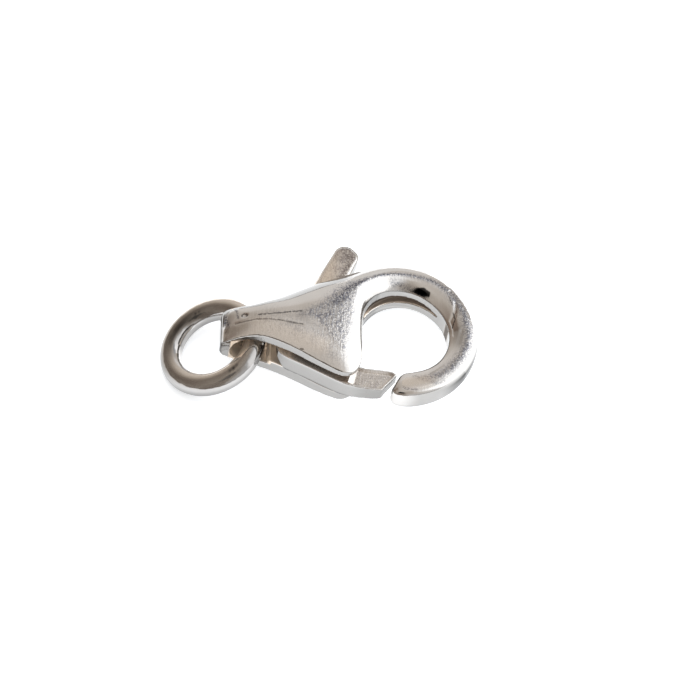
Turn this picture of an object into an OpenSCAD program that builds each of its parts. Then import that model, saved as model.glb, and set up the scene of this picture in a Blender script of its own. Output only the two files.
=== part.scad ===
// Trigger lobster clasp with its jump ring, in millimetres.
// X runs from the tail to the hook, Y from the gate to the spine, and Z is up. The clasp lies as it
// rests by itself, on one domed cheek and the hook, so its mid-plane slopes down towards the hook.
// The jump ring leans from the ground up into the tail. The origin is on the ground, under the
// middle of the whole part.

/* [Body] */
// Length of the cast body, from the tail to the far side of the hook
body_l = 16; // [15.5:0.1:18]
// Width of the cast body across hook and gate
body_w = 9.6; // [9.4:0.1:10.6]
// Thickness over both domed cheeks
body_h = 4.25; // [4.2:0.05:4.9]
// Wall left between the hollow and the spine
spine_wall = 0.8; // [0.65:0.05:0.95]
// Height above the mid-plane of the hollow that holds the lever
hollow_up = 1.01; // [0.96:0.01:1.11]
// Wall at the end of the tail, outside the ring passage
tail_wall = 0.55; // [0.45:0.05:0.6]
// Height of the passage that the jump ring runs through
passage_h = 2.02; // [1.98:0.02:2.12]
// Depth of the groove round the inside of the hook
groove_depth = 0.55; // [0.35:0.05:0.75]
// Height of that groove at its widest
groove_h = 0.8; // [0.5:0.02:0.94]

/* [Lever] */
// Thickness of the lever's arm between the cheeks
lever_t = 1.26; // [1.2:0.02:1.3]
// Gap between the arm and the lower cheek, which it lies close to
lever_low_gap = 0.08; // [0.06:0.01:0.12]
// Thickness of the lever's nose where it leaves the cheeks
nose_t = 1.12; // [0.86:0.02:1.22]
// Thickness of the thumb tab
tab_t = 1.05; // [0.85:0.05:1.25]
// Radius of the round end of the thumb tab
tab_r = 0.7; // [0.54:0.02:0.8]
// Distance from the pivot to the centre of the tab's round end
tab_reach = 6.45; // [6:0.05:6.8]
// Angle that the lever opens by
lever_swing = 26; // [15:1:28]

/* [Pivot] */
// Diameter of the pivot pin
pin_d = 1.1; // [0.9:0.02:1.3]
// Radial clearance of the lever on the pin
pin_clearance = 0.04; // [0.03:0.01:0.08]
// Radial gap between the pin and its holes in the cheeks
pin_seat_gap = 0.01; // [0.01:0.005:0.02]
// Metal left over the pin's blind end in the upper cheek
pin_cover = 0.35; // [0.25:0.05:0.5]

/* [Jump ring] */
// Diameter of the ring's wire
wire_d = 1.4; // [1.2:0.02:1.44]
// Inner diameter of the ring
ring_inner_d = 4.14; // [4.08:0.02:4.9]
// Gap between the ring's wire and the edges of the lower cheek that it rests on
ring_seat_gap = 0.03; // [0.02:0.01:0.08]

/* [Hidden] */

// Control sections of the body, from the tail along the gate side and round the hook to its tip.
// x_in, y_in is the edge towards gate and eye, x_out, y_out the edge on spine and hook's outside:
// x as shares of body_l, and y, measured from the clasp's leaning axis, as shares of body_w.
// crown and rim are half thicknesses as shares of body_h / 2, ridge is where the crown lies from
// the inner to the outer edge, round is the outer edge's roundness, and under is how thick the
// lower half is for each thickness of the upper one.
SECTIONS = [
    // x_in, y_in, x_out, y_out, crown, rim, ridge, round, under
    [-0.004, -0.033, -0.003, 0.110, 0.10, 0.09, 0.50, 4.0, 0.40],
    [-0.006, -0.070, -0.004, 0.155, 0.28, 0.26, 0.50, 4.0, 0.35],
    [0.002, -0.087, 0.006, 0.184, 0.46, 0.42, 0.50, 4.0, 0.40],
    [0.030, -0.084, 0.036, 0.195, 0.61, 0.55, 0.52, 3.4, 0.62],
    [0.072, -0.076, 0.070, 0.200, 0.72, 0.65, 0.53, 2.9, 0.85],
    [0.114, -0.073, 0.104, 0.208, 0.80, 0.73, 0.54, 2.5, 0.97],
    [0.159, -0.087, 0.137, 0.227, 0.88, 0.79, 0.56, 2.2, 1.00],
    [0.215, -0.127, 0.174, 0.256, 0.94, 0.80, 0.58, 2.0, 1.00],
    [0.281, -0.184, 0.214, 0.283, 0.98, 0.78, 0.61, 1.85, 1.00],
    [0.348, -0.257, 0.257, 0.320, 1.00, 0.76, 0.64, 1.85, 1.00],
    [0.411, -0.318, 0.301, 0.355, 1.00, 0.72, 0.67, 1.9, 1.00],
    [0.457, -0.358, 0.334, 0.383, 1.00, 0.69, 0.68, 1.9, 1.00],
    [0.490, -0.364, 0.354, 0.399, 1.00, 0.67, 0.69, 1.9, 1.00],
    [0.523, -0.326, 0.377, 0.414, 0.99, 0.64, 0.69, 1.9, 1.00],
    [0.531, -0.248, 0.411, 0.435, 0.97, 0.62, 0.68, 1.85, 1.00],
    [0.527, -0.133, 0.451, 0.458, 0.94, 0.59, 0.66, 1.8, 1.00],
    [0.527, 0.000, 0.491, 0.483, 0.90, 0.56, 0.60, 1.85, 1.00],
    [0.527, 0.111, 0.527, 0.503, 0.86, 0.54, 0.54, 1.9, 1.00],
    [0.530, 0.194, 0.567, 0.520, 0.81, 0.52, 0.50, 2.0, 1.00],
    [0.574, 0.261, 0.614, 0.535, 0.75, 0.49, 0.48, 2.1, 1.00],
    [0.631, 0.309, 0.674, 0.543, 0.69, 0.45, 0.48, 2.15, 1.00],
    [0.692, 0.324, 0.744, 0.531, 0.64, 0.41, 0.49, 2.2, 1.00],
    [0.760, 0.296, 0.819, 0.487, 0.60, 0.37, 0.51, 2.2, 1.00],
    [0.822, 0.222, 0.893, 0.401, 0.56, 0.34, 0.54, 2.2, 1.00],
    [0.866, 0.117, 0.957, 0.264, 0.52, 0.31, 0.56, 2.2, 1.00],
    [0.883, 0.000, 0.994, 0.102, 0.49, 0.30, 0.56, 2.3, 1.00],
    [0.877, -0.111, 1.001, -0.067, 0.47, 0.30, 0.53, 2.5, 1.00],
    [0.848, -0.206, 0.977, -0.222, 0.45, 0.30, 0.48, 2.8, 1.00],
    [0.803, -0.269, 0.920, -0.358, 0.43, 0.31, 0.44, 3.2, 1.00],
    [0.753, -0.296, 0.842, -0.448, 0.41, 0.31, 0.42, 3.8, 1.00],
    [0.711, -0.302, 0.763, -0.485, 0.40, 0.31, 0.42, 4.0, 1.00],
    [0.691, -0.317, 0.700, -0.487, 0.39, 0.30, 0.42, 4.0, 1.00],
    [0.678, -0.350, 0.660, -0.462, 0.33, 0.25, 0.42, 4.0, 1.00],
    [0.671, -0.378, 0.656, -0.422, 0.22, 0.18, 0.42, 4.0, 1.00]
];
// Columns of the table
COL_IN = 0;
COL_OUT = 2;
CROWN = 4;
RIM = 5;
RIDGE = 6;
ROUND = 7;
UNDER = 8;
// Surface points from the inner edge (0) to the outer edge (1) of each section
ACROSS = [0, 0.1, 0.22, 0.36, 0.5, 0.64, 0.76, 0.86, 0.93, 0.975, 1];
// Sections drawn for each row of the table, and points for each one of the lever's outline
STEPS = 2;
ARM_STEPS = 4;
// Sides of the round pieces and holes
SIDES = 48;
// Rise of the clasp's axis towards the spine, for each length along it
AXIS_RISE = 0.085;
// Slope at which the clasp rests, hook down
REST_TILT = 7;
// How far cuts run past the surface that they open
CUT_PAST = 2;

// Uniform cubic spline through control rows, as any number of columns; its ends reach the end rows
function row(rows, i) =
    let (n = len(rows))
    i < 0 ? 2 * rows[0] - rows[1] : i >= n ? 2 * rows[n - 1] - rows[n - 2] : rows[i];
function spline(rows, u) =
    let (i = min(floor(u), len(rows) - 2), t = u - i)
    (pow(1 - t, 3) * row(rows, i - 1) + (3 * pow(t, 3) - 6 * pow(t, 2) + 4) * row(rows, i)
        + (-3 * pow(t, 3) + 3 * pow(t, 2) + 3 * t + 1) * row(rows, i + 1)
        + pow(t, 3) * row(rows, i + 2)) / 6;
function smooth(rows, steps) =
    [for (k = [0:(len(rows) - 1) * steps]) spline(rows, k / steps)];
function turned(p, a) = [p.x * cos(a) - p.y * sin(a), p.x * sin(a) + p.y * cos(a)];
function placed(share) = [share.x * body_l, share.y * body_w + share.x * body_l * AXIS_RISE];

// Plan point of a section at a share v of the way from its inner to its outer edge
function inner(s) = placed([s[COL_IN], s[COL_IN + 1]]);
function outer(s) = placed([s[COL_OUT], s[COL_OUT + 1]]);
function across(s, v) = inner(s) + v * (outer(s) - inner(s));
// Half thickness there: a swell from the rim to the crown, then a quarter round to the outer edge
function half_t(s, v) =
    let (rise = 1 - min(v / s[RIDGE], 1), fall = max((v - s[RIDGE]) / (1 - s[RIDGE]), 0))
    body_h / 2 * (v < s[RIDGE] ? s[RIM] + (s[CROWN] - s[RIM]) * (1 - rise * rise)
        : s[CROWN] * pow(max(1 - pow(fall, s[ROUND]), 0), 1 / s[ROUND]));
function at_u(u) = spline(SECTIONS, u);

STATIONS = smooth(SECTIONS, STEPS);
// From the clasp's own frame, with a level mid-plane, to the frame in which it rests
function rested(p) = [
    p.x * cos(REST_TILT) + p.z * sin(REST_TILT), p.y, -p.x * sin(REST_TILT) + p.z * cos(REST_TILT)
];
SURFACE = [for (s = STATIONS) for (v = ACROSS) for (side = [-1, 1])
    let (p = across(s, v)) rested([p.x, p.y, side * half_t(s, v) * (side < 0 ? s[UNDER] : 1)])];

// Where the pivot sits: row of the table, and share of the way across it
PIVOT_ROW = 9.2;
PIVOT_ACROSS = 0.525;
PIVOT = across(at_u(PIVOT_ROW), PIVOT_ACROSS);
pivot_half = half_t(at_u(PIVOT_ROW), PIVOT_ACROSS);
// How far the pin's lower end stays above the domed cheek, so that it is never proud
PIN_SHY = 0.09;
pin_top = pivot_half - pin_cover;
pin_low = -pivot_half + PIN_SHY;

// Depth of the hollow below the mid-plane
hollow_down = lever_t / 2 + lever_low_gap;

// The lever's arm in plan, clockwise from its hub: heel, gate edge, slanted end and back edge,
// as shares of body_l and body_w. A point that stands three times makes a corner.
HUB_R = 1.45;
HEEL = [0.200, -0.040];
FRONT_CORNER = [0.619, -0.424];
BACK_CORNER = [0.679, -0.304];
ARM = [
    [0.300, 0.110], [0.235, 0.050], HEEL, HEEL, [0.194, -0.105], [0.222, -0.160], [0.270, -0.198],
    [0.345, -0.264], [0.419, -0.338], [0.475, -0.388], [0.530, -0.410], [0.590, -0.424],
    FRONT_CORNER, FRONT_CORNER, FRONT_CORNER, BACK_CORNER, BACK_CORNER, BACK_CORNER,
    [0.664, -0.272], [0.600, -0.266], [0.530, -0.256], [0.470, -0.205], [0.430, -0.100],
    [0.410, 0.050], [0.380, 0.150]
];
// The arm's thickness along X: full inside the cheeks, then the taper of the nose to its end
HEEL_TOP_X = 0.190;
HEEL_LOW_X = 0.247;
TAPER_X = 0.465;
NOSE_X = 0.535;
TIP_X = 0.690;
TIP_T = 0.68;

// The thumb tab: its direction from the pivot, and how much wider its root is than its round end
TAB_ANGLE = 65.6;
TAB_ROOT_WIDER = 0.2;
tab_root_r = tab_r + TAB_ROOT_WIDER;
// Play round the tab in its slot through the spine, and of the lever in the hollow when it is open
TAB_PLAY = 0.12;
SWING_PLAY = 8;
TAB_SWING_PLAY = 1;

// The hollow: rows of the table between which its back wall follows the spine
HOLLOW_FROM = 6.2;
HOLLOW_TO = 15;
HOLLOW_STEP = 0.8;
// Back wall's corner beside the eye, as shares of body_l and body_w
HOLLOW_CORNER = [0.487, 0.080];
// How far the hollow's cut runs into the eye, as a share of body_l: short of the hook's tip
EYE_CUT_X = 0.6;
// Highest point on the nose's back edge as it leaves the cheeks, as shares of body_l and body_w
NOSE_BACK = [0.530, -0.250];

// The ring passage through the tail, to where the hollow takes over, as a share of body_l
PASSAGE_END = 0.19;

// The groove inside the hook: rows of the table where it starts and ends, its height and depth
// along it, as shares of groove_h and groove_depth, and how far its cut reaches into the eye
GROOVE_FROM = 17.2;
GROOVE_TO = 23.6;
GROOVE_PAST = 0.3;
GROOVE = [
    // along, height, depth
    [0.00, 0.45, 0.30],
    [0.20, 0.84, 0.75],
    [0.40, 1.00, 1.00],
    [0.60, 0.88, 1.00],
    [0.80, 0.50, 0.75],
    [1.00, 0.04, 0.30]
];
ALONG = 0;
HEIGHT = 1;
DEPTH = 2;

// The jump ring: where its wire crosses the passage, as shares of body_l and body_w, how far the
// wire drops from there to the passage's ends, and the lean up from the ground that follows
RING_IN_PASSAGE = 0.033;
RING_Y = 0.037;
PASSAGE_HALF = 0.177;
RING_TO_CHEEKS = 28;
ring_r = (ring_inner_d + wire_d) / 2;
ring_back = ring_r - sqrt(pow(ring_r, 2) - pow(PASSAGE_HALF * body_w, 2));
ring_drop = ring_back * sin(RING_TO_CHEEKS);
ground = min([for (p = SURFACE) p.z]);
ring_far = rested([
    tail_wall + passage_h / 2 + RING_IN_PASSAGE * body_l, RING_Y * body_w,
    (wire_d - passage_h) / 2 + ring_drop + ring_seat_gap
]);
ring_lean = asin((ring_far.z - ground - wire_d / 2) / (2 * ring_r));
ring_centre = ring_far - ring_r * [cos(ring_lean), 0, sin(ring_lean)];

// The origin: under the middle of the part's box
tab_end = PIVOT + tab_reach * [cos(TAB_ANGLE), sin(TAB_ANGLE)];
x_low = ring_centre.x - ring_r * cos(ring_lean) - wire_d / 2;
x_high = max([for (p = SURFACE) p.x]);
y_low = min([for (p = SURFACE) p.y]);
y_high = tab_end.y + tab_r;
ORIGIN = [(x_low + x_high) / 2, (y_low + y_high) / 2, ground];

// Sets what is drawn in the clasp's own frame down in the part's frame, as it rests
module resting() {
    translate(-ORIGIN)
        rotate([0, REST_TILT, 0])
            children();
}

// Solid through rings of points, all with the same count, closed by its first and last ring
module loft(rings) {
    n = len(rings[0]);
    m = len(rings);
    points = [for (r = rings) for (p = r) p];
    sides = [
        for (i = [0:m - 2]) for (j = [0:n - 1])
            let (k = (j + 1) % n)
            each [[i * n + j, i * n + k, (i + 1) * n + k], [i * n + j, (i + 1) * n + k, (i + 1) * n + j]]
    ];
    first = [for (j = [n - 1:-1:0]) j];
    last = [for (j = [0:n - 1]) (m - 1) * n + j];
    polyhedron(points, concat(sides, [first, last]), convexity = 10);
}

// Ring of surface points of one section: over the top from inner to outer edge, and back below
function section_ring(s) = concat(
    [for (v = ACROSS) let (p = across(s, v)) [p.x, p.y, half_t(s, v)]],
    [for (k = [len(ACROSS) - 2:-1:0])
        let (p = across(s, ACROSS[k])) [p.x, p.y, -half_t(s, ACROSS[k]) * s[UNDER]]]
);

module outer_form() {
    loft([for (s = STATIONS) section_ring(s)]);
}

// Passage for the jump ring, straight through the tail along Y
module ring_passage() {
    centre_x = tail_wall + passage_h / 2;
    end_x = PASSAGE_END * body_l;
    translate([centre_x, 0, 0])
        rotate([90, 0, 0])
            cylinder(d = passage_h, h = body_w, center = true, $fn = SIDES);
    translate([(centre_x + end_x) / 2, 0, 0])
        cube([end_x - centre_x, body_w, passage_h], center = true);
}

// Point on the hollow's back wall at row u of the table
function back_wall(u) =
    let (s = at_u(u), chord = inner(s) - outer(s))
    outer(s) + chord * spine_wall / norm(chord);

// Hollow between the cheeks, open along the gate and into the eye as far as the lever opens
module hollow() {
    corner = placed(HOLLOW_CORNER);
    eye_wall = placed(NOSE_BACK) - PIVOT;
    open_back = PIVOT + turned(eye_wall, lever_swing + SWING_PLAY);
    start = inner(at_u(HOLLOW_FROM));
    outline = concat(
        [for (u = [HOLLOW_FROM:HOLLOW_STEP:HOLLOW_TO]) back_wall(u)],
        [corner, [corner.x, open_back.y], [EYE_CUT_X * body_l, open_back.y]],
        [[EYE_CUT_X * body_l, -body_w], [start.x, -body_w]]
    );
    translate([0, 0, -hollow_down])
        linear_extrude(height = hollow_up + hollow_down)
            polygon(outline);
}

// Slot through the spine for the thumb tab's swing: the tab's width at both ends, and between them
module tab_slot() {
    half = tab_root_r + TAB_PLAY;
    far = tab_reach + CUT_PAST;
    open_angle = lever_swing + TAB_SWING_PLAY;
    linear_extrude(height = tab_t + 2 * TAB_PLAY, center = true)
        translate(PIVOT)
            polygon(concat(
                [turned([0, -half], TAB_ANGLE), turned([far, -half], TAB_ANGLE)],
                [turned([far, 0], TAB_ANGLE + open_angle / 2)],
                [turned([far, half], TAB_ANGLE + open_angle), turned([0, half], TAB_ANGLE + open_angle)]
            ));
}

// Groove round the inside of the hook, a channel that narrows to nothing at its far end
module hook_groove() {
    loft([
        for (g = smooth(GROOVE, STEPS))
            let (
                s = at_u(GROOVE_FROM + (GROOVE_TO - GROOVE_FROM) * g[ALONG]),
                chord = (outer(s) - inner(s)) / norm(outer(s) - inner(s)),
                near = inner(s) - chord * GROOVE_PAST,
                deep = inner(s) + chord * groove_depth * g[DEPTH],
                half = groove_h * g[HEIGHT] / 2
            )
            [[near.x, near.y, half], [deep.x, deep.y, half], [deep.x, deep.y, -half], [near.x, near.y, -half]]
    ]);
}

module body() {
    color("silver")
        resting()
            difference() {
                outer_form();
                ring_passage();
                hollow();
                tab_slot();
                hook_groove();
                translate([PIVOT.x, PIVOT.y, -body_h])
                    cylinder(d = pin_d + 2 * pin_seat_gap, h = body_h + pin_top, $fn = SIDES);
            }
}

// Arm of the lever: its plan, cut to the thickness that it has along X
module lever_arm() {
    half = lever_t / 2;
    nose = nose_t / 2;
    intersection() {
        linear_extrude(height = lever_t, center = true)
            polygon([for (p = smooth(ARM, ARM_STEPS)) placed(p)]);
        rotate([90, 0, 0])
            linear_extrude(height = 2 * body_w, center = true)
                polygon([
                    [HEEL_TOP_X * body_l, half], [TAPER_X * body_l, half], [NOSE_X * body_l, nose],
                    [TIP_X * body_l, nose * TIP_T], [TIP_X * body_l, -nose * TIP_T],
                    [NOSE_X * body_l, -nose], [TAPER_X * body_l, -half], [HEEL_LOW_X * body_l, -half]
                ]);
    }
}

module thumb_tab() {
    linear_extrude(height = tab_t, center = true)
        translate(PIVOT)
            rotate(TAB_ANGLE) {
                polygon([[0, -tab_root_r], [tab_reach, -tab_r], [tab_reach, tab_r], [0, tab_root_r]]);
                translate([tab_reach, 0])
                    circle(r = tab_r, $fn = SIDES);
            }
}

module lever() {
    color("gainsboro")
        resting()
            difference() {
                union() {
                    lever_arm();
                    thumb_tab();
                    translate([PIVOT.x, PIVOT.y, 0])
                        cylinder(r = HUB_R, h = lever_t, center = true, $fn = SIDES);
                }
                translate([PIVOT.x, PIVOT.y, 0])
                    cylinder(d = pin_d + 2 * pin_clearance, h = 2 * lever_t, center = true, $fn = SIDES);
            }
}

module pivot_pin() {
    color("darkgray")
        resting()
            translate([PIVOT.x, PIVOT.y, pin_low])
                cylinder(d = pin_d, h = pin_top - pin_low - pin_seat_gap, $fn = SIDES);
}

module jump_ring() {
    color("lightgray")
        translate(ring_centre - ORIGIN)
            rotate([0, -ring_lean, 0])
                rotate_extrude($fn = 2 * SIDES)
                    translate([ring_r, 0])
                        circle(d = wire_d, $fn = SIDES);
}

body();
lever();
pivot_pin();
jump_ring();
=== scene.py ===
import math

import bmesh
import bpy
import numpy as np
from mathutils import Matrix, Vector


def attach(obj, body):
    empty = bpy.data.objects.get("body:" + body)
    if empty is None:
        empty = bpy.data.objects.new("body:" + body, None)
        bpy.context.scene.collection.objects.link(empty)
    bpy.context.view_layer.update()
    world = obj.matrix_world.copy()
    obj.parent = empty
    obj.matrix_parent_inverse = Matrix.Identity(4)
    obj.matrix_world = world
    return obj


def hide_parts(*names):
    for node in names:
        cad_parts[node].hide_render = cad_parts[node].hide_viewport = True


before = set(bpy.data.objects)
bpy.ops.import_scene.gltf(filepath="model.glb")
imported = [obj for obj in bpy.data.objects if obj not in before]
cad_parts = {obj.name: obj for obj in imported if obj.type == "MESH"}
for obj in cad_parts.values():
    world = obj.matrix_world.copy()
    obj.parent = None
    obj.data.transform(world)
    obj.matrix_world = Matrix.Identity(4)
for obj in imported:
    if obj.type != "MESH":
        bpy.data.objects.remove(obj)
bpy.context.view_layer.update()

# Sizes, in millimetres, as in the CAD source
MM = 0.001
BODY_L = 16.0
BODY_W = 9.6
BODY_H = 4.25
SPINE_WALL = 0.8
HOLLOW_UP = 1.01
LEVER_LOW_GAP = 0.08
TAIL_WALL = 0.55
PASSAGE_H = 2.02
GROOVE_DEPTH = 0.55
GROOVE_H = 0.8
LEVER_T = 1.26
NOSE_T = 1.12
TAB_T = 1.05
TAB_R = 0.7
TAB_REACH = 6.45
LEVER_SWING = 26.0
PIN_D = 1.1
PIN_CLEARANCE = 0.04
PIN_SEAT_GAP = 0.01
PIN_COVER = 0.35
WIRE_D = 1.4
RING_INNER_D = 4.14
AXIS_RISE = 0.085
REST_TILT = math.radians(7)
ORIGIN = np.array([6.0093, 1.873, -2.9255])
RING_CENTRE = np.array([-0.5184, 0.3552, -1.2432])
RING_LEAN = math.radians(20.7692)

# Control sections of the body: x_in, y_in, x_out, y_out, crown, rim, ridge, round, under
SECTIONS = np.array([
    [-0.004, -0.033, -0.003, 0.110, 0.10, 0.09, 0.50, 4.0, 0.40],
    [-0.006, -0.070, -0.004, 0.155, 0.28, 0.26, 0.50, 4.0, 0.35],
    [0.002, -0.087, 0.006, 0.184, 0.46, 0.42, 0.50, 4.0, 0.40],
    [0.030, -0.084, 0.036, 0.195, 0.61, 0.55, 0.52, 3.4, 0.62],
    [0.072, -0.076, 0.070, 0.200, 0.72, 0.65, 0.53, 2.9, 0.85],
    [0.114, -0.073, 0.104, 0.208, 0.80, 0.73, 0.54, 2.5, 0.97],
    [0.159, -0.087, 0.137, 0.227, 0.88, 0.79, 0.56, 2.2, 1.00],
    [0.215, -0.127, 0.174, 0.256, 0.94, 0.80, 0.58, 2.0, 1.00],
    [0.281, -0.184, 0.214, 0.283, 0.98, 0.78, 0.61, 1.85, 1.00],
    [0.348, -0.257, 0.257, 0.320, 1.00, 0.76, 0.64, 1.85, 1.00],
    [0.411, -0.318, 0.301, 0.355, 1.00, 0.72, 0.67, 1.9, 1.00],
    [0.457, -0.358, 0.334, 0.383, 1.00, 0.69, 0.68, 1.9, 1.00],
    [0.490, -0.364, 0.354, 0.399, 1.00, 0.67, 0.69, 1.9, 1.00],
    [0.523, -0.326, 0.377, 0.414, 0.99, 0.64, 0.69, 1.9, 1.00],
    [0.538, -0.248, 0.411, 0.435, 0.97, 0.62, 0.68, 1.85, 1.00],
    [0.540, -0.133, 0.451, 0.458, 0.94, 0.59, 0.66, 1.8, 1.00],
    [0.540, 0.000, 0.491, 0.483, 0.90, 0.56, 0.60, 1.85, 1.00],
    [0.541, 0.103, 0.527, 0.503, 0.86, 0.60, 0.54, 1.9, 1.00],
    [0.552, 0.180, 0.567, 0.520, 0.81, 0.60, 0.50, 2.0, 1.00],
    [0.582, 0.260, 0.614, 0.535, 0.75, 0.56, 0.48, 2.1, 1.00],
    [0.631, 0.309, 0.674, 0.543, 0.69, 0.48, 0.48, 2.15, 1.00],
    [0.692, 0.324, 0.744, 0.531, 0.64, 0.41, 0.49, 2.2, 1.00],
    [0.760, 0.296, 0.819, 0.487, 0.60, 0.37, 0.51, 2.2, 1.00],
    [0.822, 0.222, 0.893, 0.401, 0.56, 0.34, 0.54, 2.2, 1.00],
    [0.866, 0.117, 0.957, 0.264, 0.52, 0.31, 0.56, 2.2, 1.00],
    [0.883, 0.000, 0.994, 0.102, 0.49, 0.30, 0.56, 2.3, 1.00],
    [0.877, -0.111, 1.001, -0.067, 0.47, 0.30, 0.53, 2.5, 1.00],
    [0.848, -0.206, 0.977, -0.222, 0.45, 0.30, 0.48, 2.8, 1.00],
    [0.803, -0.269, 0.920, -0.358, 0.43, 0.31, 0.44, 3.2, 1.00],
    [0.753, -0.296, 0.842, -0.448, 0.41, 0.31, 0.42, 3.8, 1.00],
    [0.711, -0.302, 0.763, -0.485, 0.40, 0.31, 0.42, 4.0, 1.00],
    [0.691, -0.317, 0.700, -0.487, 0.39, 0.30, 0.42, 4.0, 1.00],
    [0.678, -0.350, 0.660, -0.462, 0.33, 0.25, 0.42, 4.0, 1.00],
    [0.671, -0.378, 0.656, -0.422, 0.22, 0.18, 0.42, 4.0, 1.00],
])
CROWN, RIM, RIDGE, ROUND, UNDER = 4, 5, 6, 7, 8

# Plan of the lever's arm, as shares of the body's length and width
HEEL = [0.214, -0.040]
FRONT_CORNER = [0.619, -0.424]
BACK_CORNER = [0.679, -0.304]
ARM = np.array([
    [0.300, 0.110], [0.245, 0.050], HEEL, HEEL, [0.208, -0.105], [0.230, -0.160], [0.270, -0.198],
    [0.345, -0.264], [0.419, -0.338], [0.475, -0.388], [0.530, -0.410], [0.590, -0.424],
    FRONT_CORNER, FRONT_CORNER, FRONT_CORNER, BACK_CORNER, BACK_CORNER, BACK_CORNER,
    [0.664, -0.272], [0.600, -0.266], [0.530, -0.256], [0.470, -0.205], [0.430, -0.100],
    [0.410, 0.050], [0.380, 0.150],
])
HOLLOW_DOWN = LEVER_T / 2 + LEVER_LOW_GAP
HUB_R = 1.45
TAB_ANGLE = math.radians(65.6)
TAB_ROOT_R = TAB_R + 0.2
TAB_PLAY = 0.12
CUT_PAST = 2.0
# Where the hollow and the hook's groove run, as places in the table of sections
HOLLOW_RUN = (6.2, 15.0)
GROOVE_RUN = (17.2, 23.6)
# Groove along the hook: place, height and depth, as shares
GROOVE = [[0.00, 1.20, 0.45], [0.20, 1.25, 0.85], [0.40, 1.12, 1.00], [0.60, 0.94, 1.00], [0.80, 0.58, 0.75],
          [1.00, 0.06, 0.30]]
BODY_VOXEL = 0.066
LEVER_VOXEL = 0.045


def spline(rows, u):
    """Uniform cubic spline through control rows, as in the CAD source."""
    rows = np.asarray(rows, float)
    first = 2 * rows[0] - rows[1]
    last = 2 * rows[-1] - rows[-2]
    padded = np.vstack([first, rows, last, 2 * last - rows[-1]])
    u = np.atleast_1d(np.asarray(u, float))
    i = np.minimum(np.floor(u).astype(int), len(rows) - 2)
    t = (u - i)[:, None]
    a, b, c, d = (padded[i + k] for k in range(4))
    return ((1 - t) ** 3 * a + (3 * t ** 3 - 6 * t ** 2 + 4) * b
            + (-3 * t ** 3 + 3 * t ** 2 + 3 * t + 1) * c + t ** 3 * d) / 6


def smooth(rows, steps):
    return spline(rows, np.linspace(0, len(rows) - 1, (len(rows) - 1) * steps + 1))


def placed(share):
    share = np.atleast_2d(share)
    x = share[:, 0] * BODY_L
    return np.stack([x, share[:, 1] * BODY_W + x * AXIS_RISE], 1)


def half_t(s, v):
    rise = 1 - np.minimum(v / s[RIDGE], 1)
    fall = np.maximum((v - s[RIDGE]) / (1 - s[RIDGE]), 0)
    swell = s[RIM] + (s[CROWN] - s[RIM]) * (1 - rise ** 2)
    drop = s[CROWN] * np.maximum(1 - fall ** s[ROUND], 0) ** (1 / s[ROUND])
    return BODY_H / 2 * np.where(v < s[RIDGE], swell, drop)


def at_u(u):
    return spline(SECTIONS, u)[0]


def inner(s):
    return placed(s[0:2])[0]


def outer(s):
    return placed(s[2:4])[0]


PIVOT_SECTION = at_u(9.2)
PIVOT = inner(PIVOT_SECTION) + 0.525 * (outer(PIVOT_SECTION) - inner(PIVOT_SECTION))
PIVOT_HALF = float(half_t(PIVOT_SECTION, np.array([0.525]))[0])
PIN_TOP = PIVOT_HALF - PIN_COVER
PIN_LOW = -PIVOT_HALF + 0.09


def turned(p, a):
    c, s = math.cos(a), math.sin(a)
    return np.array([p[0] * c - p[1] * s, p[0] * s + p[1] * c])


def mesh_object(name, points, faces):
    mesh = bpy.data.meshes.new(name)
    mesh.from_pydata([tuple(p) for p in points], [], [tuple(f) for f in faces])
    mesh.validate()
    obj = bpy.data.objects.new(name, mesh)
    bpy.context.scene.collection.objects.link(obj)
    return obj


def loft(name, rings):
    """Closed solid through rings of points that all have the same count."""
    n = len(rings[0])
    m = len(rings)
    faces = []
    for i in range(m - 1):
        for j in range(n):
            k = (j + 1) % n
            faces.append((i * n + j, i * n + k, (i + 1) * n + k, (i + 1) * n + j))
    points = [p for r in rings for p in r]
    for ring, way in ((0, -1), (m - 1, 1)):
        centre = len(points)
        points.append(np.mean(rings[ring], axis=0))
        for j in range(n):
            a, b = ring * n + j, ring * n + (j + 1) % n
            faces.append((a, b, centre) if way > 0 else (b, a, centre))
    obj = mesh_object(name, points, faces)
    solid = bmesh.new()
    solid.from_mesh(obj.data)
    if solid.calc_volume(signed=True) < 0:
        obj.data.flip_normals()
    solid.free()
    return obj


def prism(name, outline, low, high, plane="xy"):
    """Straight solid on a plan outline, along Z, or along Y where the plane is xz."""
    def at(p, h):
        return (p[0], p[1], h) if plane == "xy" else (p[0], -h, p[1])
    n = len(outline)
    points = [at(p, low) for p in outline] + [at(p, high) for p in outline]
    faces = [tuple(range(n - 1, -1, -1)), tuple(range(n, 2 * n))]
    faces += [(j, (j + 1) % n, n + (j + 1) % n, n + j) for j in range(n)]
    obj = mesh_object(name, points, faces)
    area = sum(a[0] * b[1] - b[0] * a[1] for a, b in zip(outline, outline[1:] + outline[:1]))
    if area < 0:
        obj.data.flip_normals()
    return obj


def circle(centre, r, count=96):
    angles = [2 * math.pi * k / count for k in range(count)]
    return [(centre[0] + r * math.cos(a), centre[1] + r * math.sin(a)) for a in angles]


def combine(obj, tool, operation="DIFFERENCE"):
    """Boolean of obj with the tool, which is used up."""
    mod = obj.modifiers.new("cut", "BOOLEAN")
    mod.operation = operation
    mod.solver = "MANIFOLD"
    mod.object = tool
    bake(obj)
    bpy.data.objects.remove(tool, do_unlink=True)
    return obj


def bake(obj):
    """Replaces obj's mesh by what its modifiers make of it."""
    deps = bpy.context.evaluated_depsgraph_get()
    mesh = bpy.data.meshes.new_from_object(obj.evaluated_get(deps))
    obj.modifiers.clear()
    obj.data = mesh


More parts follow.
